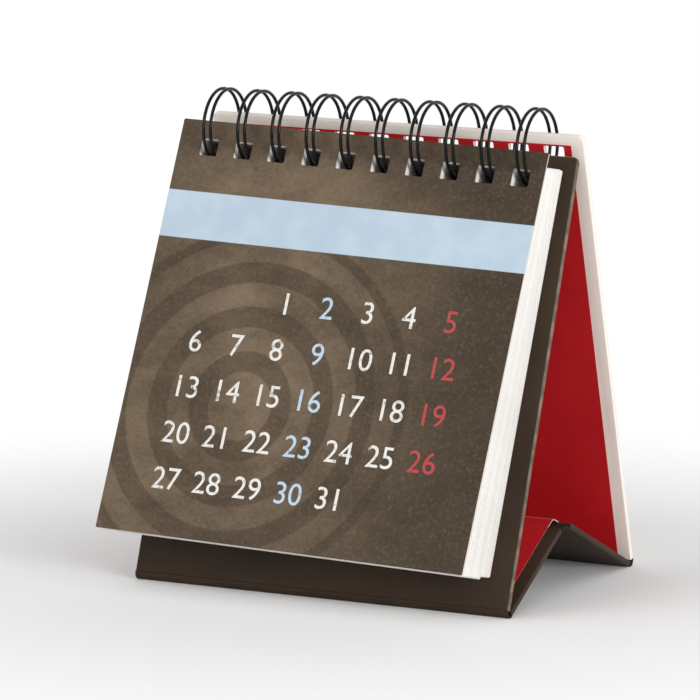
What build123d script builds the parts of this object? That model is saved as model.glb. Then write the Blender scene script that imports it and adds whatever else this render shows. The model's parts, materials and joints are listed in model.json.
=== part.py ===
from build123d import *
import math
import os

# Desk calendar: a pack of day leaves on a twin-loop wire, hung on a folding easel of paper-wrapped boards.
# Sizes are in millimetres. X runs across the calendar, the front faces -Y and +Z is up.

# easel panels
easel_width = 136.0
panel_thickness = 2.0
paper = 0.25
liner_inset = 4.5
liner_top_inset = 3.3
liner_proud = 0.1
corner_radius = 2.0
front_lean = 19.9
fold_inner = 0.2
board_start = 0.3
foot_flat = 0.1

# inverted-V base between the two bottom folds
fold_spread = 91.37
ridge_depth = 40.71
ridge_rise = 22.94
ridge_clearance = 4.5
ridge_flat = 2.2

# twin-loop wire
loop_count = 10
loop_pitch = 12.7
wire_diameter = 1.1
pair_spacing = 2.6
ring_radius = 12.5
ring_offset = 6.18
ring_height = 149.42
back_ring_inset = 9.11237
wire_shift = -1.2
wire_sides = 8
ring_steps = 23
bend_steps = 3
spine_angle = -69.46
tip_gap = 0.6
bend_radius = pair_spacing / 2

# slots through boards and leaves
board_slot_width = 7.2
board_slot_height = 7.4
front_slot_drop = 5.55
front_slot_margin = 4.58
back_slot_drop = 3.2227
back_slot_margin = 3.9
leaf_slot_width = 6.2
leaf_slot_height = 7.6
leaf_slot_slack = 0.6
leaf_slot_shift = -0.8
wire_play = 0.3

# leaf packets and cover
leaf_width = 134.0
leaf_height = 134.0
packet_count = 6
pack_at_wire = 12.7
pack_at_foot = 20.3
foot_level = 8.5
binding_drop = 11.42
leaf_margin = 1.7
leaf_step = 0.35
cover_thickness = 0.7
cover_foot = 8.5
cover_slot_drop = 6.82
cover_slot_margin = 5.5
cover_slot_height = 6.4
pack_shift = -3.6
pack_skew = 1.44
leaf_corner = 0.5

fold_outer = fold_inner + panel_thickness
front_slot_top = ring_height - front_slot_drop
front_top = front_slot_top + front_slot_margin
cover_slot_top = ring_height - cover_slot_drop
cover_top = cover_slot_top + cover_slot_margin
binding_level = ring_height - binding_drop
slot_xs = [loop_pitch * (i - (loop_count - 1) / 2) for i in range(loop_count)]
skew_drop = (slot_xs[-1] + leaf_slot_width / 2) * math.sin(math.radians(pack_skew))


def direction(degrees):
    """Unit vector in the YZ plane, measured from +Y towards +Z."""
    a = math.radians(degrees)
    return Vector(0, math.cos(a), math.sin(a))


class Panel:
    """Frame of one board: v runs away from its fold, w points to its wrapped outer side."""

    def __init__(self, fold, along, outward):
        self.fold = fold
        self.along = along
        self.outward = outward
        self.plane = Plane(origin=fold, x_dir=along.cross(outward), z_dir=outward)

    def place(self, shape):
        return self.plane.location * shape

    def point(self, v, w):
        return self.fold + self.along * v + self.outward * w


front_fold = Vector(0, 0, fold_outer)
rear_fold = Vector(0, fold_spread, fold_outer)
ridge_point = front_fold + Vector(0, ridge_depth, ridge_rise)
front_rise = ridge_point - front_fold
rear_rise = ridge_point - rear_fold
base_front_length = front_rise.length
base_rear_length = rear_rise.length

front_panel = Panel(front_fold, direction(90 - front_lean), direction(180 - front_lean))
ring_center = front_panel.point(ring_height, fold_outer + ring_offset)

# the back board leans so that it meets the loops behind the ring's centre
ring_from_rear = ring_center - rear_fold
ring_bearing = math.degrees(math.atan2(ring_from_rear.Z, ring_from_rear.Y))
back_lean = ring_bearing - math.degrees(math.acos(-back_ring_inset / ring_from_rear.length))
back_slot_top = ring_from_rear.dot(direction(90 + back_lean)) - back_slot_drop
back_top = back_slot_top + back_slot_margin
back_panel = Panel(rear_fold, direction(90 + back_lean), direction(back_lean))
front_along = front_rise.normalized()
rear_along = rear_rise.normalized()
base_front = Panel(front_fold, front_along, Vector(0, front_along.Z, -front_along.Y))
base_rear = Panel(rear_fold, rear_along, Vector(0, -rear_along.Z, rear_along.Y) * -1)
if base_rear.outward.Z > 0:
    base_rear = Panel(rear_fold, rear_along, base_rear.outward * -1)


def block(x0, x1, v0, v1, w0, w1):
    """Box between two corners in a panel's own frame."""
    box = Box(x1 - x0, v1 - v0, w1 - w0, align=(Align.MIN, Align.MIN, Align.MIN))
    return Pos(x0, v0, w0) * box


def slots(width, top, height, shift=0.0):
    """Row of slot cutters through a panel or leaf."""
    cutters = []
    for x in slot_xs:
        cutters.append(block(x + shift - width / 2, x + shift + width / 2, top - height, top, -5, 40))
    return cutters


def rounded(shape, v, radius):
    """Round the outer corners of a board at height v."""
    edges = [e for e in shape.edges().filter_by(Axis.Z) if abs(e.center().Y - v) < 0.01]
    return fillet(edges, radius)


def make_panel(panel, length, slot_top=None):
    """Greyboard, paper wrap with turned-in edges, and liner of one panel."""
    half = easel_width / 2
    top_wrapped = slot_top is not None
    edge = paper if top_wrapped else 0.0
    inset = liner_top_inset if top_wrapped else 0.0
    board = block(-half + paper, half - paper, board_start, length - edge,
                  fold_inner + paper, fold_outer - paper)
    wrap = block(-half, half, 0, length, fold_inner, fold_outer)
    if top_wrapped:
        board = rounded(board, length - edge, corner_radius - paper)
        wrap = rounded(wrap, length, corner_radius)
    window = block(-half + liner_inset, half - liner_inset, -1, length - inset + (0 if top_wrapped else 1),
                   fold_inner - 1, fold_inner + paper)
    open_end = block(-half, half, -1, board_start, fold_inner - 1, fold_outer - paper)
    wrap = wrap - board - window - open_end
    liner = block(-half + liner_inset, half - liner_inset, board_start, length - inset,
                  fold_inner - liner_proud, fold_inner + paper)
    pieces = [board, wrap, liner]
    if top_wrapped:
        cutters = slots(board_slot_width, slot_top, board_slot_height)
        pieces = [p - cutters for p in pieces]
    return [panel.place(p) for p in pieces]


def arc_strip(panel_a, panel_b):
    """Paper wrap bent round a bottom fold, from one panel's outer face to the other's, with a flat foot."""
    center = panel_a.fold
    middle = (panel_a.outward + panel_b.outward).normalized()
    section = []
    for radius in (fold_outer, fold_outer - paper):
        a = center + panel_a.outward * radius
        m = center + middle * radius
        b = center + panel_b.outward * radius
        section.append((a, m, b))
    outer, inner = section
    wire = Wire([
        ThreePointArc(*outer),
        Line(outer[2], inner[2]),
        ThreePointArc(inner[2], inner[1], inner[0]),
        Line(inner[0], outer[0]),
    ])
    strip = extrude(Face(wire), easel_width / 2, dir=(1, 0, 0), both=True)
    floor = Pos(0, center.Y, 0) * Box(easel_width + 2, 20, 2 * foot_flat)
    return strip - floor


def ridge_strip(level, thickness):
    """Flexible strip over the gap between the two base boards, at one depth in the boards."""
    front_end = base_front_length - ridge_clearance
    rear_end = base_rear_length - ridge_clearance
    points = []
    for w in (level, level + thickness):
        drop = w - fold_inner
        points.append([
            base_front.point(front_end, w),
            base_front.point(base_front_length - ridge_flat - drop * 0.5, w),
            base_rear.point(base_rear_length - ridge_flat - drop * 0.5, w),
            base_rear.point(rear_end, w),
        ])
    outline = points[0] + points[1][::-1]
    face = Face(Wire.make_polygon(outline, close=True))
    half = easel_width / 2 - (liner_inset if level < fold_inner else 0)
    return extrude(face, half, dir=(1, 0, 0), both=True)


def ring_point(x, degrees):
    return ring_center + direction(degrees) * ring_radius + Vector(x, 0, 0)


def ring_run(x, start, end):
    """Points of one wire round the ring, from one angle to the other."""
    return [ring_point(x, start + (end - start) * i / ring_steps) for i in range(ring_steps + 1)]


def bend(center, start, end, turn):
    """Points inside a bend of the wire, from one unit direction towards another."""
    steps = bend_steps * turn // 90
    points = []
    for i in range(1, steps):
        a = math.radians(turn * i / steps)
        points.append(center + (start * math.cos(a) + end * math.sin(a)) * bend_radius)
    return points


def wire_route():
    """Centre line of the comb: each loop is a hairpin pair, and spine runs join the loops."""
    bend_angle = math.degrees(bend_radius / ring_radius)
    tip = spine_angle + 2 * bend_angle + math.degrees((wire_diameter + tip_gap) / ring_radius) - 360
    across = Vector(1, 0, 0)
    tip_heading = direction(tip - 90)
    spine_heading = direction(spine_angle + 90)
    route = []
    for i, x in enumerate(slot_xs):
        left = x + wire_shift - pair_spacing / 2
        right = x + wire_shift + pair_spacing / 2
        route += ring_run(left, spine_angle, tip)
        route += bend(ring_point(x + wire_shift, tip), across * -1, tip_heading, 180)
        route += ring_run(right, tip, spine_angle)
        if i + 1 < loop_count:
            leaving = ring_point(right + bend_radius, spine_angle)
            joining = ring_point(left + loop_pitch - bend_radius, spine_angle)
            route += bend(leaving, across * -1, spine_heading, 90)
            route += [leaving + spine_heading * bend_radius, joining + spine_heading * bend_radius]
            route += bend(joining, spine_heading, across, 90)
    return route


def make_wire(route):
    """One unbroken tube along the route, with straight sides that meet in mitres."""
    runs = [(b - a).normalized() for a, b in zip(route, route[1:])]
    side = Vector(1, 0, 0)
    other = runs[0].cross(side)
    corners = []
    for i in range(wire_sides):
        a = 2 * math.pi * i / wire_sides
        corners.append(route[0] + (side * math.cos(a) + other * math.sin(a)) * (wire_diameter / 2))
    rings = [corners]
    for i, run in enumerate(runs):
        point = route[i + 1]
        facing = run if i + 1 == len(runs) else (run + runs[i + 1]).normalized()
        corners = [c + run * ((point - c).dot(facing) / run.dot(facing)) for c in corners]
        rings.append(corners)
    faces = [Face(Wire.make_polygon(rings[0])), Face(Wire.make_polygon(rings[-1]))]
    for near, far in zip(rings, rings[1:]):
        for i in range(wire_sides):
            j = (i + 1) % wire_sides
            faces.append(Face(Wire.make_polygon([near[i], near[j], far[j], far[i]])))
    return Solid(Shell(faces))


def wire_self_gap(route):
    """Least gap of the wire to itself, between points more than a few wire widths apart along it."""
    points = []
    run = 0.0
    for a, b in zip(route, route[1:]):
        length = (b - a).length
        count = max(1, int(length / 0.6))
        for i in range(count):
            points.append((run + length * i / count, a + (b - a) * (i / count)))
        run += length
    least = 1e9
    for i, (s, p) in enumerate(points):
        for t, q in points[i + 1:]:
            if t - s > 4 * wire_diameter and abs(p.X - q.X) < loop_pitch / 2:
                least = min(least, (p - q).length - wire_diameter)
    return least


def pack_depth(share, v):
    """Distance from the front panel's face at height v, for a share of the pack's thickness."""
    slope = (pack_at_wire - pack_at_foot) / (binding_level - foot_level)
    return share * (pack_at_wire + slope * (v - binding_level))


def wire_top(depths):
    """Highest level of the wire's upper side over a range of depths."""
    reach = ring_radius - wire_diameter / 2
    return max(ring_height - math.sqrt(reach ** 2 - (d - ring_offset) ** 2) for d in depths)


def make_leaves(back, front, foot, top, slot_top, slot_height):
    """Wedge of sheets between two depth rules, with rounded corners and its row of slots."""
    outline = [
        (back(foot), foot),
        (front(foot), foot),
        (front(top), top),
        (back(top), top),
    ]
    points = [front_panel.point(v, fold_outer + d) for d, v in outline]
    face = Face(Wire.make_polygon(points, close=True))
    solid = extrude(face, leaf_width / 2, dir=(1, 0, 0), both=True)
    corners = front_panel.place(
        Pos(0, foot, fold_outer) * rounded_sheet(top - foot)
    )
    solid = solid & corners
    cutters = slots(leaf_slot_width, slot_top, slot_height, wire_shift + leaf_slot_shift - pack_shift)
    pivot = Axis(front_panel.point(binding_level, fold_outer), front_panel.outward)
    return (Pos(pack_shift, 0, 0) * (solid - [front_panel.place(c) for c in cutters])).rotate(pivot, -pack_skew)


def rounded_sheet(height):
    """Tall block with a sheet's rounded corners."""
    sheet = RectangleRounded(leaf_width, height, leaf_corner)
    return Pos(0, height / 2, -1) * extrude(sheet, 40)


parts = {}
names = ("board", "wrap", "liner")
panel_rows = (
    ("front", front_panel, front_top, front_slot_top),
    ("back", back_panel, back_top, back_slot_top),
    ("base_front", base_front, base_front_length - ridge_clearance, None),
    ("base_rear", base_rear, base_rear_length - ridge_clearance, None),
)
for label, panel, length, slot_top in panel_rows:
    for name, piece in zip(names, make_panel(panel, length, slot_top)):
        parts[f"{label}_{name}"] = piece

parts["front_fold_strip"] = arc_strip(front_panel, base_front)
parts["rear_fold_strip"] = arc_strip(back_panel, base_rear)
parts["ridge_liner"] = ridge_strip(fold_inner - liner_proud, paper + liner_proud)
parts["ridge_wrap"] = ridge_strip(fold_outer - paper, paper)

wire_points = wire_route()
parts["twin_loop_wire"] = make_wire(wire_points)
print("least gap of the wire to itself:", round(wire_self_gap(wire_points), 2), "mm")

leaf_slot_top = wire_top((0, pack_at_wire)) + wire_play + skew_drop + leaf_slot_slack
for k in range(packet_count):
    def back_face(v, share=k / packet_count):
        return pack_depth(share, v)

    def front_face(v, share=(k + 1) / packet_count):
        return pack_depth(share, v)

    packet_top = leaf_slot_top + leaf_margin + leaf_step * (packet_count - 1 - k)
    parts[f"leaf_packet_{k + 1}"] = make_leaves(
        back_face, front_face, packet_top - leaf_height, packet_top, leaf_slot_top, leaf_slot_height
    )


def cover_back(v):
    return pack_depth(1.0, v)


def cover_front(v):
    return pack_depth(1.0, v) + cover_thickness


parts["front_cover"] = make_leaves(
    cover_back, cover_front, cover_foot, cover_top, cover_slot_top, cover_slot_height
)

whole = Compound(children=[p.solid() for p in parts.values()])
box = whole.bounding_box()
home = Pos(-(box.min.X + box.max.X) / 2, -(box.min.Y + box.max.Y) / 2, -box.min.Z)
print("size:", [round(v, 2) for v in box.size])
print("home:", [round(v, 3) for v in home.position])
print("ring axis:", [round(v, 3) for v in (home.position + ring_center)])
print("front fold:", [round(v, 3) for v in (home.position + front_fold)])
print("rear fold:", [round(v, 3) for v in (home.position + rear_fold)])

os.makedirs("parts", exist_ok=True)
for name, piece in parts.items():
    solid = home * piece.solid()
    solid.label = name
    export_step(solid, f"parts/{name}.step")
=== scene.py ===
import json
import math
import random
import bmesh
import bpy
from mathutils import Matrix, Vector


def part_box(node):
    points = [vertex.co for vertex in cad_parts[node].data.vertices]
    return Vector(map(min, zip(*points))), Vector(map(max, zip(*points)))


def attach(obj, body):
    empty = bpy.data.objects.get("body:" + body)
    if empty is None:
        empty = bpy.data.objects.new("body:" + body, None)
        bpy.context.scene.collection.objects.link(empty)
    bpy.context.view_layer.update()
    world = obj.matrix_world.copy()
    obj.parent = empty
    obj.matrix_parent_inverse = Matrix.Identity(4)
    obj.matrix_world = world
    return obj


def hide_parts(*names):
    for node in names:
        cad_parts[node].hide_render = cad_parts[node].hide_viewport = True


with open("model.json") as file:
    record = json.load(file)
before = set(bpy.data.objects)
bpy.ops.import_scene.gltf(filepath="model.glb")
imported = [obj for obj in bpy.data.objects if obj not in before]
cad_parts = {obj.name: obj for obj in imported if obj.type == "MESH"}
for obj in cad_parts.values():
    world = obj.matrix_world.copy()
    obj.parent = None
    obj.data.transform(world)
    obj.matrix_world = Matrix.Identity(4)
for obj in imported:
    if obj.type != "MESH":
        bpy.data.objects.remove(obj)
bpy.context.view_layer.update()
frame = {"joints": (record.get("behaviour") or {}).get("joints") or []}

# Sizes are in millimetres and become metres through MM.
MM = 0.001
PANEL_INNER = 0.2
PANEL_OUTER = 2.2
PAPER = 0.25
LINER_INSET = 4.5
LINER_TOP_INSET = 3.3
LINER_PROUD = 0.1
LINER_SUNK = 0.05
LINER_START = 0.3
LINER_CORNER = 0.4
LINER_EDGE = 0.04
EASEL_CORNER = 2.0
BOARD_EDGE = 0.4
FOOT_FLAT = 0.1
FRONT_LEAN = 19.9
BACK_LEAN = 15.2
FRONT_TOP = 148.45
BACK_TOP = 151.7
RIDGE_CLEARANCE = 4.5
RIDGE_DEPTH = 40.71
RIDGE_RISE = 22.94
RIDGE_BEND = 5.0
BOARD_SLOT = (7.2, 7.4)
SLOT_CORNER = 0.4
FRONT_SLOT_TOP = 143.87
BACK_SLOT_TOP = 147.8
LOOP_COUNT = 10
LOOP_PITCH = 12.7
WIRE_DIAMETER = 1.1
WIRE_SHIFT = -1.2
PAIR_SPACING = 2.6
RING_RADIUS = 12.5
RING_OFFSET = 6.18
RING_HEIGHT = 149.42
SPINE_ANGLE = -69.46
TIP_GAP = 0.6
LEAF_WIDTH = 134.0
LEAF_HEIGHT = 134.0
LEAF_CORNER = 0.5
LEAF_SLOT = (6.2, 7.6)
LEAF_SLOT_SLACK = 0.6
LEAF_SLOT_SHIFT = -0.8
LEAF_MARGIN = 1.7
LEAF_STEP = 0.35
FRONT_SAG = 0.9
FIRST_SAGGING = 2
PACKET_COUNT = 6
SHEETS_PER_PACKET = 11
SHEET_FILL = 0.46
SHEET_EDGE = 0.02
SHEET_SLACK = 0.25
SHEET_SLIDE = 0.22
SHEET_DROP = 0.25
PACK_AT_WIRE = 12.7
PACK_AT_FOOT = 20.3
FOOT_LEVEL = 8.5
BINDING_LEVEL = 138.0
PACK_SHIFT = -3.6
PACK_SKEW = 1.44
COVER_THICKNESS = 0.7
COVER_EDGE = 0.1
COVER_FOOT = 8.5
COVER_TOP = 148.1
COVER_SLOT_MARGIN = 6.1
COVER_SLOT_HEIGHT = 5.8
WIRE_PLAY = 0.3
INK_LEVEL = 0.02
INK_THICKNESS = 0.01

# Marks of wear, the reach of the painted shade on the leaves' slot edges, and the height of the paper's
# fibres.
RUBBED_EDGE = 0.45
WHITE_EDGE = 0.1
SLOT_SHADE_REACH = 0.3
SLOT_ROW_MARGIN = 1.0
FIBRE_HEIGHT = 0.1

# Fineness of the meshes.
CORNER_STEPS = 5
LEAF_CORNER_STEPS = 3
SLOT_CORNER_STEPS = 2
FOLD_STEPS = 18
RIDGE_STEPS = 8
RING_STEPS = 72
TIP_STEPS = 12
SPINE_STEPS = 6
ROUND_EDGE_FROM = 0.2
WELD_GAP = 0.01
SHARP_ANGLE = 40

SLOT_XS = [LOOP_PITCH * (i - (LOOP_COUNT - 1) / 2) for i in range(LOOP_COUNT)]
BEND_RADIUS = PAIR_SPACING / 2
SKEW_DROP = (SLOT_XS[-1] + LEAF_SLOT[0] / 2) * math.sin(math.radians(PACK_SKEW))
PACK_SLOPE = (PACK_AT_WIRE - PACK_AT_FOOT) / (BINDING_LEVEL - FOOT_LEVEL)


def wire_top(depths):
    """Highest level of the wire's upper side over a range of depths in the pack."""
    reach = RING_RADIUS - WIRE_DIAMETER / 2
    return max(RING_HEIGHT - math.sqrt(reach ** 2 - (d - RING_OFFSET) ** 2) for d in depths)


LEAF_SLOT_TOP = wire_top((0, PACK_AT_WIRE)) + WIRE_PLAY + SKEW_DROP + LEAF_SLOT_SLACK
LEAF_SLOT_XS = [x + WIRE_SHIFT + LEAF_SLOT_SHIFT - PACK_SHIFT for x in SLOT_XS]
SLOT_ROW_REACH = LEAF_WIDTH / 2 - SLOT_ROW_MARGIN

joints = {j["name"]: j for j in frame["joints"]}
easel_low, easel_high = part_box("front_wrap")
EASEL_X = (easel_low.x + easel_high.x) / 2
EASEL_WIDTH = (easel_high.x - easel_low.x) / MM
EASEL_HALF = EASEL_WIDTH / 2
dice = random.Random(12)


def place_of(joint):
    """A joint's point at the middle of the easel's width, in metres."""
    point = Vector(joints[joint]["pos_m"])
    point.x = EASEL_X
    return point


def direction(degrees):
    """Unit vector in the YZ plane, measured from +Y towards +Z."""
    a = math.radians(degrees)
    return Vector((0, math.cos(a), math.sin(a)))


def panel_frame(fold, along, outward):
    """Frame of a panel: x across, y away from its fold, z to its wrapped side."""
    across = along.cross(outward)
    matrix = Matrix((across, along, outward)).transposed().to_4x4()
    matrix.translation = fold
    return matrix


front_fold = place_of("base_front_fold")
rear_fold = place_of("base_rear_fold")
ring_center = place_of("stand_fold")
ridge = front_fold + Vector((0, RIDGE_DEPTH, RIDGE_RISE)) * MM
front_rise = ridge - front_fold
rear_rise = ridge - rear_fold
FRONT_ALONG = direction(90 - FRONT_LEAN)
FRONT_OUT = direction(180 - FRONT_LEAN)
front_run = front_rise.normalized()
rear_run = rear_rise.normalized()
panels = {
    "front": panel_frame(front_fold, FRONT_ALONG, FRONT_OUT),
    "back": panel_frame(rear_fold, direction(90 + BACK_LEAN), direction(BACK_LEAN)),
    "base_front": panel_frame(front_fold, front_run, Vector((0, front_run.z, -front_run.y))),
    "base_rear": panel_frame(rear_fold, rear_run, Vector((0, -rear_run.z, rear_run.y))),
}
BASE_FRONT_LENGTH = front_rise.length / MM
BASE_REAR_LENGTH = rear_rise.length / MM


def sheet_frame(share):
    """Frame of a sheet at a share of the pack's thickness; its origin is at the binding level."""
    depth = share * PACK_AT_WIRE
    along = (FRONT_ALONG + FRONT_OUT * (share * PACK_SLOPE)).normalized()
    origin = front_fold + (FRONT_ALONG * BINDING_LEVEL + FRONT_OUT * (PANEL_OUTER + depth)) * MM
    flat = panel_frame(origin, along, Vector((1, 0, 0)).cross(along))
    pivot = front_fold + (FRONT_ALONG * BINDING_LEVEL + FRONT_OUT * PANEL_OUTER) * MM
    turn = Matrix.Rotation(math.radians(-PACK_SKEW), 4, FRONT_OUT)
    shift = Matrix.Translation((PACK_SHIFT * MM, 0, 0))
    return Matrix.Translation(pivot) @ turn @ Matrix.Translation(-pivot) @ shift @ flat


def group(name, inputs, outputs):
    """Empty shader node group with its sockets; returns tree, input node and output node."""
    tree = bpy.data.node_groups.new(name, "ShaderNodeTree")
    for socket, kind, value in inputs:
        made = tree.interface.new_socket(socket, in_out="INPUT", socket_type=kind)
        made.default_value = value
    for socket, kind in outputs:
        tree.interface.new_socket(socket, in_out="OUTPUT", socket_type=kind)
    return tree, tree.nodes.new("NodeGroupInput"), tree.nodes.new("NodeGroupOutput")


def node(tree, kind, links=(), **settings):
    """Adds a shader node, sets its properties and inputs, and links sockets to inputs."""
    made = tree.nodes.new(kind)
    for key, value in settings.items():
        setattr(made, key, value)
    for socket, source in links:
        if isinstance(source, bpy.types.NodeSocket):
            tree.links.new(source, made.inputs[socket])
        else:
            made.inputs[socket].default_value = source
    return made


def maths(tree, operation, a, b=0.0):
    """One step of arithmetic on values or sockets."""
    return node(tree, "ShaderNodeMath", ((0, a), (1, b)), operation=operation).outputs[0]


def mix(tree, factor, a, b):
    """Blend of two colours."""
    made = node(tree, "ShaderNodeMix", ((0, factor), (6, a), (7, b)), data_type="RGBA")
    return made.outputs[2]


def ramp(tree, value, low, high):
    """Smooth step of a value between two levels."""
    made = node(tree, "ShaderNodeMapRange", ((0, value), (1, low), (2, high)))
    made.interpolation_type = "SMOOTHSTEP"
    return made.outputs[0]


def piece_place(tree):
    """Place on a piece, in the piece's own frame."""
    return node(tree, "ShaderNodeTexCoord").outputs["Object"]


def noise(tree, place, scale, detail, roughness=0.5):
    """Value of a noise texture at a place."""
    links = (("Vector", place), ("Scale", scale), ("Detail", detail), ("Roughness", roughness))
    return node(tree, "ShaderNodeTexNoise", links).outputs[0]


# Fineness and strength of the marks on each material. Scales count per metre.
CLOUD_SCALE = 34.0
CLOUD_SHARE = 0.72
GRAIN_SCALE = 2600.0
GRAIN_SHARE = 0.28
GRAIN_ROUGHNESS = 0.12
WEAR_SCALE = 240.0
WEAR_LEAST = 0.35
WEAR_PATCHES = 0.5
LEAF_STREAK_SCALE = 260.0
WIRE_SPECK_SCALE = 160.0
WIRE_ROUGHNESS = 0.13
WIRE_SPECK_ROUGHNESS = 0.06
INK_RUB_SCALE = 700.0
INK_ROUGHNESS = 0.6
WRAP_SHEEN = 0.16
LINER_SHEEN = 0.25
WIRE_SHEEN = 0.14
COVER_SHEEN = 0.14

# Linear colours of the papers, the wire and the print; each pair is a tone and its mottling.
WRAP_BROWNS = ((0.046, 0.029, 0.018), (0.032, 0.0195, 0.0125))
WRAP_WORN = (0.23, 0.18, 0.135, 1)
WRAP_CREAMS = ((0.86, 0.80, 0.73), (0.81, 0.75, 0.68))
LINER_REDS = ((0.53, 0.013, 0.018), (0.45, 0.009, 0.013))
LINER_CUT = (0.62, 0.42, 0.38, 1)
LEAF_WHITES = ((0.88, 0.86, 0.83), (0.82, 0.795, 0.76))
LEAF_CUTS = ((0.93, 0.91, 0.885, 1), (0.84, 0.815, 0.785, 1))
# Painted shade, near black, for the leaves' cut edges inside the slots, where the deep slots lie in shadow.
LEAF_SLOT_SHADE = (0.05, 0.044, 0.04, 1)
WIRE_BLACKS = ((0.004, 0.0035, 0.0035, 1), (0.008, 0.007, 0.007, 1))
COVER_BROWNS = ((0.122, 0.086, 0.056), (0.092, 0.065, 0.042))
COVER_SMUDGE = (0.215, 0.155, 0.103, 1)
COVER_RIM = (0.080, 0.057, 0.038, 1)
# Painted shade: darkens the cover towards its right side.
COVER_PAINTED_SHADE = (0.040, 0.029, 0.019, 1)
COVER_RING = (0.046, 0.033, 0.022, 1)
COVER_BLUES = ((0.46, 0.575, 0.68, 1), (0.54, 0.645, 0.745, 1))
COVER_PALE_DUST = (0.235, 0.178, 0.122, 1)
COVER_DARK_DUST = (0.030, 0.022, 0.014, 1)
COVER_CUT = (0.62, 0.57, 0.50, 1)
COVER_REVERSE = (0.80, 0.78, 0.74, 1)
INK_RUBBED = (0.16, 0.12, 0.088, 1)


def paper_fibre_group():
    """Mottled tone, roughness and fine grain shared by every paper on the calendar."""
    tree, entry, exit_node = group(
        "paper_fibre",
        (("Color", "NodeSocketColor", (0.8, 0.8, 0.8, 1)), ("Shade", "NodeSocketColor", (0.7, 0.7, 0.7, 1)),
         ("Roughness", "NodeSocketFloat", 0.6)),
        (("Color", "NodeSocketColor"), ("Roughness", "NodeSocketFloat"), ("Height", "NodeSocketFloat")),
    )
    place = piece_place(tree)
    cloud = noise(tree, place, CLOUD_SCALE, 5.0)
    grain = noise(tree, place, GRAIN_SCALE, 2.0)
    clouded = maths(tree, "MULTIPLY", cloud, CLOUD_SHARE)
    both = maths(tree, "ADD", clouded, maths(tree, "MULTIPLY", grain, GRAIN_SHARE))
    tone = mix(tree, ramp(tree, both, 0.32, 0.68), entry.outputs["Color"], entry.outputs["Shade"])
    rough = maths(tree, "ADD", entry.outputs["Roughness"], maths(tree, "MULTIPLY", grain, GRAIN_ROUGHNESS))
    tree.links.new(tone, exit_node.inputs["Color"])
    tree.links.new(rough, exit_node.inputs["Roughness"])
    tree.links.new(grain, exit_node.inputs["Height"])
    return tree


fibre = paper_fibre_group()


def start_material(name):
    """New material, with its tree and principled shader."""
    material = bpy.data.materials.new(name)
    material.use_nodes = True
    tree = material.node_tree
    shader = tree.nodes["Principled BSDF"]
    return material, tree, shader


def add_fibre(tree, shader, color, shade, roughness, grain):
    """Places the fibre group in a material and links its tone, roughness and grain."""
    paper = node(tree, "ShaderNodeGroup", node_tree=fibre)
    paper.inputs["Color"].default_value = (*color, 1)
    paper.inputs["Shade"].default_value = (*shade, 1)
    paper.inputs["Roughness"].default_value = roughness
    tree.links.new(paper.outputs["Roughness"], shader.inputs["Roughness"])
    relief = (("Strength", grain), ("Distance", FIBRE_HEIGHT * MM), ("Height", paper.outputs["Height"]))
    bump = node(tree, "ShaderNodeBump", relief)
    tree.links.new(bump.outputs[0], shader.inputs["Normal"])
    tree.links.new(paper.outputs["Color"], shader.inputs["Base Color"])
    return paper


def sheet_facing(tree):
    """1 on the front face of a flat sheet, -1 on its reverse and 0 on its cut edges."""
    normal = node(tree, "ShaderNodeTexCoord").outputs["Normal"]
    return node(tree, "ShaderNodeSeparateXYZ", ((0, normal),)).outputs[2]


def cut_edge(tree):
    """1 on the cut edges of a flat sheet and 0 on its faces."""
    flatness = maths(tree, "ABSOLUTE", sheet_facing(tree))
    return maths(tree, "SUBTRACT", 1.0, ramp(tree, flatness, 0.35, 0.6))


def brown_wrap(name, length):
    """Dark brown wrap paper; with the panel's length in millimetres, its edges show wear."""
    material, tree, shader = start_material(name)
    paper = add_fibre(tree, shader, *WRAP_BROWNS, roughness=0.55, grain=0.25)
    shader.inputs["Specular IOR Level"].default_value = WRAP_SHEEN
    if length is not None:
        place = piece_place(tree)
        split = node(tree, "ShaderNodeSeparateXYZ", ((0, place),))
        side = maths(tree, "SUBTRACT", maths(tree, "ABSOLUTE", split.outputs[0]), EASEL_HALF * MM)
        top = maths(tree, "SUBTRACT", split.outputs[1], length * MM)
        edge = maths(tree, "MAXIMUM", side, top)
        wear = noise(tree, place, WEAR_SCALE, 4.0)
        patches = maths(tree, "MULTIPLY", ramp(tree, wear, 0.35, 0.65), WEAR_PATCHES)
        patchy = maths(tree, "ADD", WEAR_LEAST, patches)
        rubbed_and_slot_shaded = maths(tree, "MULTIPLY", ramp(tree, edge, -RUBBED_EDGE * MM, -WHITE_EDGE * MM), patchy)
        worn = mix(tree, rubbed_and_slot_shaded, paper.outputs["Color"], WRAP_WORN)
        tree.links.new(worn, shader.inputs["Base Color"])
    return material


def cream_wrap(name):
    """Cream wrap paper of the back board, turned in round its edges."""
    material, tree, shader = start_material(name)
    add_fibre(tree, shader, *WRAP_CREAMS, roughness=0.6, grain=0.2)
    return material


def red_liner(name):
    """Deep red liner paper with a pale cut edge."""
    material, tree, shader = start_material(name)
    paper = add_fibre(tree, shader, *LINER_REDS, roughness=0.5, grain=0.3)
    shader.inputs["Specular IOR Level"].default_value = LINER_SHEEN
    edged = mix(tree, cut_edge(tree), paper.outputs["Color"], LINER_CUT)
    tree.links.new(edged, shader.inputs["Base Color"])
    return material


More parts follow.
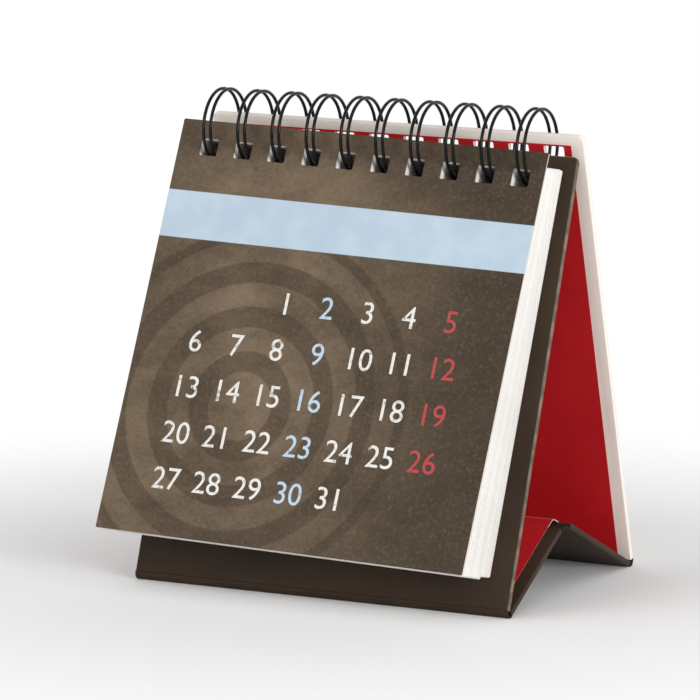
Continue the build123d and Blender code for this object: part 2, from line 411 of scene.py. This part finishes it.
def leaf_paper(name, ink_rub_and_slot_shade):
    """White day leaves, greyer at the cut edge; the second argument sets how dark the painted shade is on
    the slots' cut edges, where the deep slots lie in shadow.
    """
    material, tree, shader = start_material(name)
    paper = add_fibre(tree, shader, *LEAF_WHITES, roughness=0.62, grain=0.15)
    place = piece_place(tree)
    streak = noise(tree, place, LEAF_STREAK_SCALE, 3.0)
    edge = mix(tree, streak, *LEAF_CUTS)
    # Painted shade: near black on the cut edges inside the row of slots, standing in for the shadow deep in
    # the slots.
    split = node(tree, "ShaderNodeSeparateXYZ", ((0, place),))
    inside = maths(tree, "LESS_THAN", maths(tree, "ABSOLUTE", split.outputs[0]), SLOT_ROW_REACH * MM)
    slot_high = LEAF_SLOT_TOP - BINDING_LEVEL + SLOT_SHADE_REACH
    slot_low = LEAF_SLOT_TOP - LEAF_SLOT[1] - BINDING_LEVEL - SLOT_SHADE_REACH
    low = maths(tree, "GREATER_THAN", split.outputs[1], slot_low * MM)
    high = maths(tree, "LESS_THAN", split.outputs[1], slot_high * MM)
    slot_shade_mask = maths(tree, "MULTIPLY", inside, maths(tree, "MULTIPLY", low, high))
    rubbed_and_slot_shaded = mix(tree, maths(tree, "MULTIPLY", slot_shade_mask, ink_rub_and_slot_shade), edge, LEAF_SLOT_SHADE)
    edged = mix(tree, cut_edge(tree), paper.outputs["Color"], rubbed_and_slot_shaded)
    tree.links.new(edged, shader.inputs["Base Color"])
    return material


def black_wire(name):
    """Glossy black coating of the wire."""
    material, tree, shader = start_material(name)
    speck = noise(tree, piece_place(tree), WIRE_SPECK_SCALE, 3.0)
    tree.links.new(mix(tree, speck, *WIRE_BLACKS), shader.inputs["Base Color"])
    specked = maths(tree, "MULTIPLY", speck, WIRE_SPECK_ROUGHNESS)
    tree.links.new(maths(tree, "ADD", specked, WIRE_ROUGHNESS), shader.inputs["Roughness"])
    shader.inputs["Specular IOR Level"].default_value = WIRE_SHEEN
    return material


# The cover's print and the painted shade on it, in millimetres from the binding level and the middle of the
# card.
COVER_MIDDLE = (COVER_FOOT + COVER_TOP) / 2 - BINDING_LEVEL
COVER_REACH = (COVER_TOP - COVER_FOOT) / 2
# SHADE_START to SHADE_STRENGTH set the painted shade that darkens the cover towards its right side.
SHADE_START = -25.0
SHADE_END = 62.0
SHADE_STRENGTH = 0.82
RIM_STRENGTH = 0.35
SMUDGE_SCALE = 22.0
SMUDGE_TURN = (0, 0, 0.5)
SMUDGE_STRETCH = (1, 1.7, 1)
BAND_TOP = -14.2
BAND_FOOT = -30.2
DIAL_CENTER = (-24.0, -84.0)
DIAL_STEP = 15.0
DIAL_START = 0.6
DIAL_RINGS = 4.0
DIAL_BLUR = 0.05
DIAL_STRENGTH = 0.5
PRINT_BLUR = 0.15
CHALK_SCALE = 75.0
DUST_SCALE = 900.0
DUST_STRENGTH = 0.26


def cover_print(name):
    """Chalk-brown printed card: smudged ground with painted shade towards its right side, tone-on-tone rings
    and a pale blue band.
    """
    material, tree, shader = start_material(name)
    paper = add_fibre(tree, shader, *COVER_BROWNS, roughness=0.6, grain=0.12)
    shader.inputs["Specular IOR Level"].default_value = COVER_SHEEN
    place = piece_place(tree)
    split = node(tree, "ShaderNodeSeparateXYZ", ((0, place),))
    across, up = split.outputs[0], split.outputs[1]
    turned = (("Vector", place), ("Rotation", SMUDGE_TURN), ("Scale", SMUDGE_STRETCH))
    stretch = node(tree, "ShaderNodeMapping", turned).outputs[0]
    smudge = noise(tree, stretch, SMUDGE_SCALE, 7.0, 0.66)
    smudged = mix(tree, ramp(tree, smudge, 0.34, 0.66), paper.outputs["Color"], COVER_SMUDGE)
    wide = maths(tree, "DIVIDE", maths(tree, "ABSOLUTE", across), LEAF_WIDTH / 2 * MM)
    from_middle = maths(tree, "ABSOLUTE", maths(tree, "SUBTRACT", up, COVER_MIDDLE * MM))
    tall = maths(tree, "DIVIDE", from_middle, COVER_REACH * MM)
    rim = ramp(tree, maths(tree, "MAXIMUM", wide, tall), 0.55, 1.05)
    rimmed = mix(tree, maths(tree, "MULTIPLY", rim, RIM_STRENGTH), smudged, COVER_RIM)
    # Painted shade: the ground darkens towards the card's right side.
    painted_shade_side = ramp(tree, across, SHADE_START * MM, SHADE_END * MM)
    ground = mix(tree, maths(tree, "MULTIPLY", painted_shade_side, SHADE_STRENGTH), rimmed, COVER_PAINTED_SHADE)
    dx = maths(tree, "SUBTRACT", across, DIAL_CENTER[0] * MM)
    dy = maths(tree, "SUBTRACT", up, DIAL_CENTER[1] * MM)
    square = maths(tree, "ADD", maths(tree, "MULTIPLY", dx, dx), maths(tree, "MULTIPLY", dy, dy))
    radius = maths(tree, "DIVIDE", maths(tree, "SQRT", square), DIAL_STEP * MM)
    wave = maths(tree, "ABSOLUTE", maths(tree, "SUBTRACT", maths(tree, "FRACT", radius), 0.5))
    past_start = ramp(tree, radius, DIAL_START - DIAL_BLUR, DIAL_START + DIAL_BLUR)
    past_last = ramp(tree, radius, DIAL_RINGS - DIAL_BLUR, DIAL_RINGS + DIAL_BLUR)
    spread = maths(tree, "MULTIPLY", past_start, maths(tree, "SUBTRACT", 1.0, past_last))
    rings = maths(tree, "MULTIPLY", ramp(tree, wave, 0.24, 0.29), spread)
    ringed = mix(tree, maths(tree, "MULTIPLY", rings, DIAL_STRENGTH), ground, COVER_RING)
    below = ramp(tree, up, (BAND_FOOT - PRINT_BLUR) * MM, (BAND_FOOT + PRINT_BLUR) * MM)
    above = ramp(tree, up, (BAND_TOP - PRINT_BLUR) * MM, (BAND_TOP + PRINT_BLUR) * MM)
    band = maths(tree, "SUBTRACT", below, above)
    chalk = noise(tree, place, CHALK_SCALE, 8.0)
    blue = mix(tree, ramp(tree, chalk, 0.3, 0.75), *COVER_BLUES)
    dust = noise(tree, place, DUST_SCALE, 3.0, 0.7)
    pale_dust = maths(tree, "MULTIPLY", ramp(tree, dust, 0.5, 0.72), DUST_STRENGTH)
    dark_dust = maths(tree, "MULTIPLY", ramp(tree, dust, 0.5, 0.3), DUST_STRENGTH)
    pale = mix(tree, pale_dust, ringed, COVER_PALE_DUST)
    dusty = mix(tree, dark_dust, pale, COVER_DARK_DUST)
    printed = mix(tree, band, dusty, blue)
    edged = mix(tree, cut_edge(tree), printed, COVER_CUT)
    reverse = maths(tree, "LESS_THAN", sheet_facing(tree), -0.5)
    tree.links.new(mix(tree, reverse, edged, COVER_REVERSE), shader.inputs["Base Color"])
    return material


def chalk_ink(name, color):
    """Printed chalk strokes that let a little of the ground through."""
    material, tree, shader = start_material(name)
    ink_rub_and_slot_shade = noise(tree, piece_place(tree), INK_RUB_SCALE, 6.0)
    tone = mix(tree, ramp(tree, ink_rub_and_slot_shade, 0.5, 0.78), (*color, 1), INK_RUBBED)
    tree.links.new(tone, shader.inputs["Base Color"])
    shader.inputs["Roughness"].default_value = INK_ROUGHNESS
    return material


leaf_white = leaf_paper("leaf_paper", ink_rub_and_slot_shade=0.0)
# This copy has painted shade, near black, on the slots' cut edges.
leaf_slot_shaded = leaf_paper("leaf_paper_slot_shaded", ink_rub_and_slot_shade=0.9)
liner_red = red_liner("red_liner")
wire_black = black_wire("black_wire")
wrap_plain = brown_wrap("brown_wrap_strip", None)


def rounded_outline(x0, x1, y0, y1, low_radius, high_radius, steps=CORNER_STEPS):
    """Rectangle with rounded lower and upper corners, as points in millimetres."""
    points = []
    corners = (
        (x0, y0, low_radius, 180),
        (x1, y0, low_radius, 270),
        (x1, y1, high_radius, 0),
        (x0, y1, high_radius, 90),
    )
    for x, y, radius, start in corners:
        if radius <= 0:
            points.append((x, y))
            continue
        cx = x + radius if x == x0 else x - radius
        cy = y + radius if y == y0 else y - radius
        for i in range(steps + 1):
            a = math.radians(start + 90 * i / steps)
            points.append((cx + radius * math.cos(a), cy + radius * math.sin(a)))
    return points


def slot_outlines(xs, width, top, height):
    """Outlines of a row of slots, centred on the given places across."""
    half = width / 2
    corners = (SLOT_CORNER, SLOT_CORNER, SLOT_CORNER_STEPS)
    return [rounded_outline(x - half, x + half, top - height, top, *corners) for x in xs]


def mesh_of(curve):
    """Mesh of a curve or text; the curve itself is removed."""
    source = bpy.data.objects.new(curve.name, curve)
    bpy.context.scene.collection.objects.link(source)
    bpy.context.view_layer.update()
    mesh = bpy.data.meshes.new_from_object(source.evaluated_get(bpy.context.evaluated_depsgraph_get()))
    bpy.data.objects.remove(source)
    bpy.data.curves.remove(curve)
    return mesh


def face_outward(mesh, merge):
    """Turns a mesh's faces outward, after joining doubled points where merge is set."""
    weld = bmesh.new()
    weld.from_mesh(mesh)
    if merge:
        bmesh.ops.remove_doubles(weld, verts=weld.verts, dist=WELD_GAP * MM)
    bmesh.ops.recalc_face_normals(weld, faces=weld.faces)
    weld.to_mesh(mesh)
    weld.free()


def plate(name, outlines, low, high, edge, matrix, body, material):
    """Flat piece cut from outlines in millimetres, between two levels, with a rounded edge."""
    curve = bpy.data.curves.new(name, "CURVE")
    curve.dimensions = "2D"
    curve.fill_mode = "BOTH"
    for outline in outlines:
        spline = curve.splines.new("POLY")
        spline.points.add(len(outline) - 1)
        for point, (x, y) in zip(spline.points, outline):
            point.co = (x * MM, y * MM, 0, 1)
        spline.use_cyclic_u = True
    curve.extrude = ((high - low) / 2 - edge) * MM
    curve.bevel_depth = edge * MM
    curve.bevel_resolution = 2 if edge > ROUND_EDGE_FROM else 0
    curve.offset = -edge * MM
    mesh = mesh_of(curve)
    mesh.transform(Matrix.Translation((0, 0, (low + high) / 2 * MM)))
    face_outward(mesh, True)
    return add_piece(name, mesh, matrix, body, material)


def add_piece(name, mesh, matrix, body, material):
    """Object of a mesh in its own frame, riding on a body."""
    mesh.name = name
    mesh.materials.clear()
    mesh.materials.append(material)
    mesh.shade_smooth()
    mesh.set_sharp_from_angle(angle=math.radians(SHARP_ANGLE))
    piece = bpy.data.objects.new(name, mesh)
    bpy.context.scene.collection.objects.link(piece)
    piece.matrix_world = matrix
    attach(piece, body)
    return piece


def ribbon(name, profile, half_width, matrix, body, material):
    """Strip with a constant section in the YZ plane; the profile is a closed loop in millimetres."""
    vertices = []
    for x in (-half_width, half_width):
        vertices += [(x * MM, y * MM, z * MM) for y, z in profile]
    count = len(profile)
    faces = [tuple(range(count)), tuple(range(2 * count - 1, count - 1, -1))]
    for i in range(count):
        j = (i + 1) % count
        faces.append((i, i + count, j + count, j))
    mesh = bpy.data.meshes.new(name)
    mesh.from_pydata(vertices, [], faces)
    face_outward(mesh, False)
    return add_piece(name, mesh, matrix, body, material)


def make_panel(label, body, length, slot_top):
    """Wrapped board and red liner of one panel; slot_top is None on the base, which has no slots."""
    lined = EASEL_HALF - LINER_INSET
    radius = EASEL_CORNER if slot_top else 0
    inset = LINER_TOP_INSET if slot_top else 0
    outlines = [rounded_outline(-EASEL_HALF, EASEL_HALF, 0, length, 0, radius)]
    lining = [rounded_outline(-lined, lined, LINER_START, length - inset, 0, LINER_CORNER)]
    if slot_top:
        holes = slot_outlines(SLOT_XS, BOARD_SLOT[0], slot_top, BOARD_SLOT[1])
        outlines += holes
        lining += holes
    finish = "cream_wrap" if label == "back" else "brown_wrap"
    if label == "back":
        paper = cream_wrap(finish)
    else:
        paper = brown_wrap(f"{finish}_{label}", length if slot_top else None)
    wrap = plate(f"{label}_wrap_paper", outlines, PANEL_INNER, PANEL_OUTER, BOARD_EDGE,
                 panels[label], body, paper)
    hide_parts(f"{label}_wrap", f"{label}_board")
    liner = plate(f"{label}_liner_paper", lining, PANEL_INNER - LINER_PROUD, PANEL_INNER + LINER_SUNK,
                  LINER_EDGE, panels[label], body, liner_red)
    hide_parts(f"{label}_liner")


make_panel("front", "easel_front", FRONT_TOP, FRONT_SLOT_TOP)
make_panel("back", "easel_back", BACK_TOP, BACK_SLOT_TOP)
make_panel("base_front", "base_front", BASE_FRONT_LENGTH - RIDGE_CLEARANCE, None)
make_panel("base_rear", "base_rear", BASE_REAR_LENGTH - RIDGE_CLEARANCE, None)


def fold_strip(name, fold, first, second, body):
    """Wrap paper bent round a bottom fold, between two panels' outer directions."""
    start = math.atan2(first.z, first.y)
    end = math.atan2(second.z, second.y)
    while end < start:
        end += 2 * math.pi
    if end - start > math.pi:
        start, end = end, start + 2 * math.pi
    outer, inner = [], []
    for i in range(FOLD_STEPS + 1):
        a = start + (end - start) * i / FOLD_STEPS
        for radius, row in ((PANEL_OUTER, outer), (PANEL_OUTER - PAPER, inner)):
            height = max(radius * math.sin(a), FOOT_FLAT - PANEL_OUTER)
            row.append((radius * math.cos(a), height))
    profile = outer + inner[::-1]
    strip = ribbon(name + "_paper", profile, EASEL_HALF, Matrix.Translation(fold), body, wrap_plain)
    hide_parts(name)


def outward_of(label):
    """Direction of a panel's wrapped side."""
    return panels[label].to_3x3() @ Vector((0, 0, 1))


fold_strip("front_fold_strip", front_fold, outward_of("front"), outward_of("base_front"), "easel_front")
fold_strip("rear_fold_strip", rear_fold, outward_of("back"), outward_of("base_rear"), "easel_back")


def ridge_half(name, label, length, level, thickness, half_width, material):
    """Half of a paper strip at the ridge: it leaves one base board, rides on it and curves to the middle."""
    matrix = panels[label]
    start = matrix @ Vector((0, (length - RIDGE_CLEARANCE) * MM, level * MM))
    run = matrix.to_3x3() @ Vector((0, 1, 0))
    lean = math.atan2(abs(run.z), abs(run.y))
    reach = abs(ridge.y - start.y)
    upper, lower = [], []
    toward = 1 if run.y > 0 else -1
    y, z = start.y, start.z
    for i in range(RIDGE_STEPS + 1):
        slope = lean * (1 - (i / RIDGE_STEPS) ** RIDGE_BEND)
        normal = Vector((0, -toward * math.sin(slope), math.cos(slope)))
        upper.append((y / MM, z / MM))
        lower.append(((y - normal.y * thickness * MM) / MM, (z - normal.z * thickness * MM) / MM))
        y += toward * reach / RIDGE_STEPS
        z += math.tan(lean * (1 - ((i + 0.5) / RIDGE_STEPS) ** RIDGE_BEND)) * reach / RIDGE_STEPS
    profile = upper + lower[::-1]
    return ribbon(name, profile, half_width, Matrix.Translation((EASEL_X, 0, 0)), label, material)


for label, length in (("base_front", BASE_FRONT_LENGTH), ("base_rear", BASE_REAR_LENGTH)):
    red = ridge_half(f"{label}_ridge_liner", label, length, PANEL_INNER - LINER_PROUD, PAPER + LINER_PROUD,
                     EASEL_HALF - LINER_INSET, liner_red)
    brown = ridge_half(f"{label}_ridge_wrap", label, length, PANEL_OUTER - PAPER, PAPER,
                       EASEL_HALF, wrap_plain)
    if label == "base_front":
        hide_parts("ridge_liner")
        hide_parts("ridge_wrap")


def ring_point(x, degrees):
    """Point on a loop of the wire, x millimetres from the middle of the row."""
    return ring_center + (Vector((x, 0, 0)) + direction(degrees) * RING_RADIUS) * MM


def bend(center, start, end, turn, steps):
    """Points inside a bend of the wire, from one unit direction towards another."""
    points = []
    for i in range(1, steps):
        a = math.radians(turn * i / steps)
        points.append(center + (start * math.cos(a) + end * math.sin(a)) * (BEND_RADIUS * MM))
    return points


def make_wire():
    """The whole comb as one round tube with hairpin loops and spine runs."""
    bend_angle = math.degrees(BEND_RADIUS / RING_RADIUS)
    tip = SPINE_ANGLE + 2 * bend_angle + math.degrees((WIRE_DIAMETER + TIP_GAP) / RING_RADIUS) - 360
    across = Vector((1, 0, 0))
    tip_heading = direction(tip - 90)
    spine_heading = direction(SPINE_ANGLE + 90)
    spine_out = spine_heading * (BEND_RADIUS * MM)
    sweep = [SPINE_ANGLE + (tip - SPINE_ANGLE) * k / RING_STEPS for k in range(RING_STEPS + 1)]
    sweep_back = [tip + (SPINE_ANGLE - tip) * k / RING_STEPS for k in range(RING_STEPS + 1)]
    route = []
    for i, x in enumerate(SLOT_XS):
        left = x + WIRE_SHIFT - BEND_RADIUS
        right = x + WIRE_SHIFT + BEND_RADIUS
        route += [ring_point(left, a) for a in sweep]
        route += bend(ring_point(x + WIRE_SHIFT, tip), -across, tip_heading, 180, TIP_STEPS)
        route += [ring_point(right, a) for a in sweep_back]
        if i + 1 < LOOP_COUNT:
            leaving = ring_point(right + BEND_RADIUS, SPINE_ANGLE)
            joining = ring_point(left + LOOP_PITCH - BEND_RADIUS, SPINE_ANGLE)
            route += bend(leaving, -across, spine_heading, 90, SPINE_STEPS)
            route += [leaving + spine_out, joining + spine_out]
            route += bend(joining, spine_heading, across, 90, SPINE_STEPS)
    curve = bpy.data.curves.new("wire_comb", "CURVE")
    curve.dimensions = "3D"
    curve.bevel_depth = WIRE_DIAMETER / 2 * MM
    curve.bevel_resolution = 3
    curve.use_fill_caps = True
    spline = curve.splines.new("POLY")
    spline.points.add(len(route) - 1)
    for point, place in zip(spline.points, route):
        point.co = (*place, 1)
    wire = add_piece("wire_comb", mesh_of(curve), Matrix.Identity(4), "easel_front", wire_black)
    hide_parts("twin_loop_wire")


make_wire()


def make_packet(index):
    """One packet as loose sheets that fan out towards the foot; the front packets sag a little."""
    back = index / PACKET_COUNT
    front = (index + 1) / PACKET_COUNT
    top = LEAF_SLOT_TOP + LEAF_MARGIN + LEAF_STEP * (PACKET_COUNT - 1 - index)
    half = LEAF_WIDTH / 2 - SHEET_SLACK
    sag = FRONT_SAG if index >= FIRST_SAGGING else 0
    thin = PACK_AT_WIRE / PACKET_COUNT / SHEETS_PER_PACKET * SHEET_FILL
    # Every packet but the front one has painted shade on its slots' cut edges.
    paper = leaf_white if index == PACKET_COUNT - 1 else leaf_slot_shaded
    for k in range(SHEETS_PER_PACKET):
        share = back + (front - back) * (k + 0.5) / SHEETS_PER_PACKET
        slide = dice.uniform(-SHEET_SLIDE, SHEET_SLIDE)
        lift = dice.uniform(-SHEET_DROP, 0.0)
        y0 = top - LEAF_HEIGHT - BINDING_LEVEL + lift + SHEET_SLACK - sag
        y1 = top - BINDING_LEVEL + lift
        corners = (LEAF_CORNER, LEAF_CORNER, LEAF_CORNER_STEPS)
        outlines = [rounded_outline(-half + slide, half + slide, y0, y1, *corners)]
        outlines += slot_outlines(LEAF_SLOT_XS, LEAF_SLOT[0], LEAF_SLOT_TOP - BINDING_LEVEL, LEAF_SLOT[1])
        leaf = plate(f"packet_{index + 1}_leaf_{k + 1}", outlines, -thin, thin, SHEET_EDGE,
                     sheet_frame(share), f"packet_{index + 1}", paper)
        if k == 0:
            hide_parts(f"leaf_packet_{index + 1}")


for packet in range(PACKET_COUNT):
    make_packet(packet)


def make_cover():
    """Printed cover card with its slots."""
    half = LEAF_WIDTH / 2
    foot = COVER_FOOT - BINDING_LEVEL
    top = COVER_TOP - BINDING_LEVEL
    outlines = [rounded_outline(-half, half, foot, top, LEAF_CORNER, LEAF_CORNER)]
    slot_top = COVER_TOP - COVER_SLOT_MARGIN - BINDING_LEVEL
    outlines += slot_outlines(LEAF_SLOT_XS, LEAF_SLOT[0], slot_top, COVER_SLOT_HEIGHT)
    card = plate("cover_card", outlines, 0, COVER_THICKNESS, COVER_EDGE, sheet_frame(1.0), "cover",
                 cover_print("cover_print"))
    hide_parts("front_cover")


make_cover()

GRID_LEFT = -45.0
GRID_TOP = -49.0
GRID_STEP = (15.0, 15.5)
GRID_COLUMNS = 7
FIRST_COLUMN = 2
BLUE_COLUMN = 3
RED_COLUMN = 6
LAST_NUMBER = 31
NUMBER_SIZE = 10.5
inks = {
    "white": chalk_ink("chalk_white", (0.80, 0.78, 0.74)),
    "blue": chalk_ink("chalk_blue", (0.50, 0.63, 0.76)),
    "red": chalk_ink("chalk_red", (0.46, 0.035, 0.04)),
}


def add_number(value, x, y, ink):
    """Printed number on the cover, a film on the card."""
    text = bpy.data.curves.new(f"number_{value}", "FONT")
    text.body = str(value)
    text.align_x = "CENTER"
    text.align_y = "CENTER"
    text.size = NUMBER_SIZE * MM
    text.extrude = INK_THICKNESS * MM
    text.resolution_u = 4
    mesh = mesh_of(text)
    mesh.transform(Matrix.Translation(Vector((x, y, COVER_THICKNESS + INK_LEVEL)) * MM))
    mark = add_piece(f"cover_number_{value}", mesh, sheet_frame(1.0), "cover", ink)


for number in range(1, LAST_NUMBER + 1):
    row, column = divmod(number - 1 + FIRST_COLUMN, GRID_COLUMNS)
    tint = "red" if column == RED_COLUMN else "blue" if column == BLUE_COLUMN else "white"
    add_number(number, GRID_LEFT + column * GRID_STEP[0], GRID_TOP - row * GRID_STEP[1], inks[tint])


# The stage around the calendar, in metres and watts.
FLOOR_NEAR = 0.10
FLOOR_FAR = 0.30
FLOOR_REACH = 6.0
ROOM_LIGHT = 0.62
ROOM_SEEN = 1.0
LAMP_TARGET = Vector((0, 0, 0.07))


def make_stage():
    """Pale floor that fades out around the calendar, and the white room."""
    mesh = bpy.data.meshes.new("floor")
    corners = [(x * FLOOR_REACH, y * FLOOR_REACH, 0) for x, y in ((-1, -1), (1, -1), (1, 1), (-1, 1))]
    mesh.from_pydata(corners, [], [(0, 1, 2, 3)])
    floor = bpy.data.objects.new("floor", mesh)
    bpy.context.scene.collection.objects.link(floor)
    material, tree, shader = start_material("floor_white")
    shader.inputs["Base Color"].default_value = (0.95, 0.95, 0.95, 1)
    shader.inputs["Roughness"].default_value = 1.0
    shader.inputs["Specular IOR Level"].default_value = 0.0
    away = node(tree, "ShaderNodeVectorMath", ((0, piece_place(tree)),), operation="LENGTH").outputs["Value"]
    fade = maths(tree, "SUBTRACT", 1.0, ramp(tree, away, FLOOR_NEAR, FLOOR_FAR))
    tree.links.new(fade, shader.inputs["Alpha"])
    mesh.materials.append(material)
    world = bpy.data.worlds.new("white_room")
    bpy.context.scene.world = world
    world.use_nodes = True
    tree = world.node_tree
    lit = tree.nodes["Background"]
    lit.inputs[0].default_value = (1.0, 1.0, 1.0, 1)
    lit.inputs[1].default_value = ROOM_LIGHT
    seen = node(tree, "ShaderNodeBackground", ((0, (1, 1, 1, 1)), (1, ROOM_SEEN)))
    path = node(tree, "ShaderNodeLightPath")
    straight = maths(tree, "MAXIMUM", path.outputs["Is Camera Ray"], path.outputs["Is Transmission Ray"])
    looking = maths(tree, "MAXIMUM", straight, path.outputs["Is Glossy Ray"])
    blend = node(tree, "ShaderNodeMixShader", ((0, looking), (1, lit.outputs[0]), (2, seen.outputs[0])))
    tree.links.new(blend.outputs[0], tree.nodes["World Output"].inputs[0])


make_stage()


def add_light(name, location, size, power):
    """Round soft lamp that looks at the middle of the calendar."""
    lamp = bpy.data.lights.new(name, "AREA")
    lamp.shape = "DISK"
    lamp.size = size
    lamp.energy = power
    holder = bpy.data.objects.new(name, lamp)
    bpy.context.scene.collection.objects.link(holder)
    holder.location = location
    holder.rotation_euler = (LAMP_TARGET - Vector(location)).to_track_quat("-Z", "Y").to_euler()


add_light("key_softbox", location=(-0.55, -0.85, 0.95), size=0.7, power=3.4)
add_light("right_softbox", location=(1.25, -0.6, 0.35), size=0.6, power=12.5)

# The camera: pixels, degrees, and millimetres for the sensor, the distance and the aim.
PHOTO_SIZE = 700
FOCAL_PIXELS = 6000.0
SENSOR = 36.0
CAMERA_AZIMUTH = 27.34
CAMERA_ELEVATION = 9.61
CAMERA_DISTANCE = 1973.17
AIM_FROM_FOLD = (-11.31, 41.87, 72.17)
CLIP_METRES = 50.0


def make_camera():
    """Camera fitted to the photographed corners, slots and loops."""
    data = bpy.data.cameras.new("photo_camera")
    data.sensor_width = SENSOR
    data.lens = FOCAL_PIXELS / PHOTO_SIZE * SENSOR
    data.clip_end = CLIP_METRES
    camera = bpy.data.objects.new("photo_camera", data)
    bpy.context.scene.collection.objects.link(camera)
    azimuth = math.radians(CAMERA_AZIMUTH)
    elevation = math.radians(CAMERA_ELEVATION)
    level = math.cos(elevation)
    back = Vector((math.sin(azimuth) * level, -math.cos(azimuth) * level, math.sin(elevation)))
    aim = front_fold + Vector(AIM_FROM_FOLD) * MM
    camera.location = aim + back * (CAMERA_DISTANCE * MM)
    camera.rotation_euler = back.to_track_quat("Z", "Y").to_euler()
    bpy.context.scene.camera = camera


make_camera()
bpy.context.scene.view_settings.view_transform = "Standard"
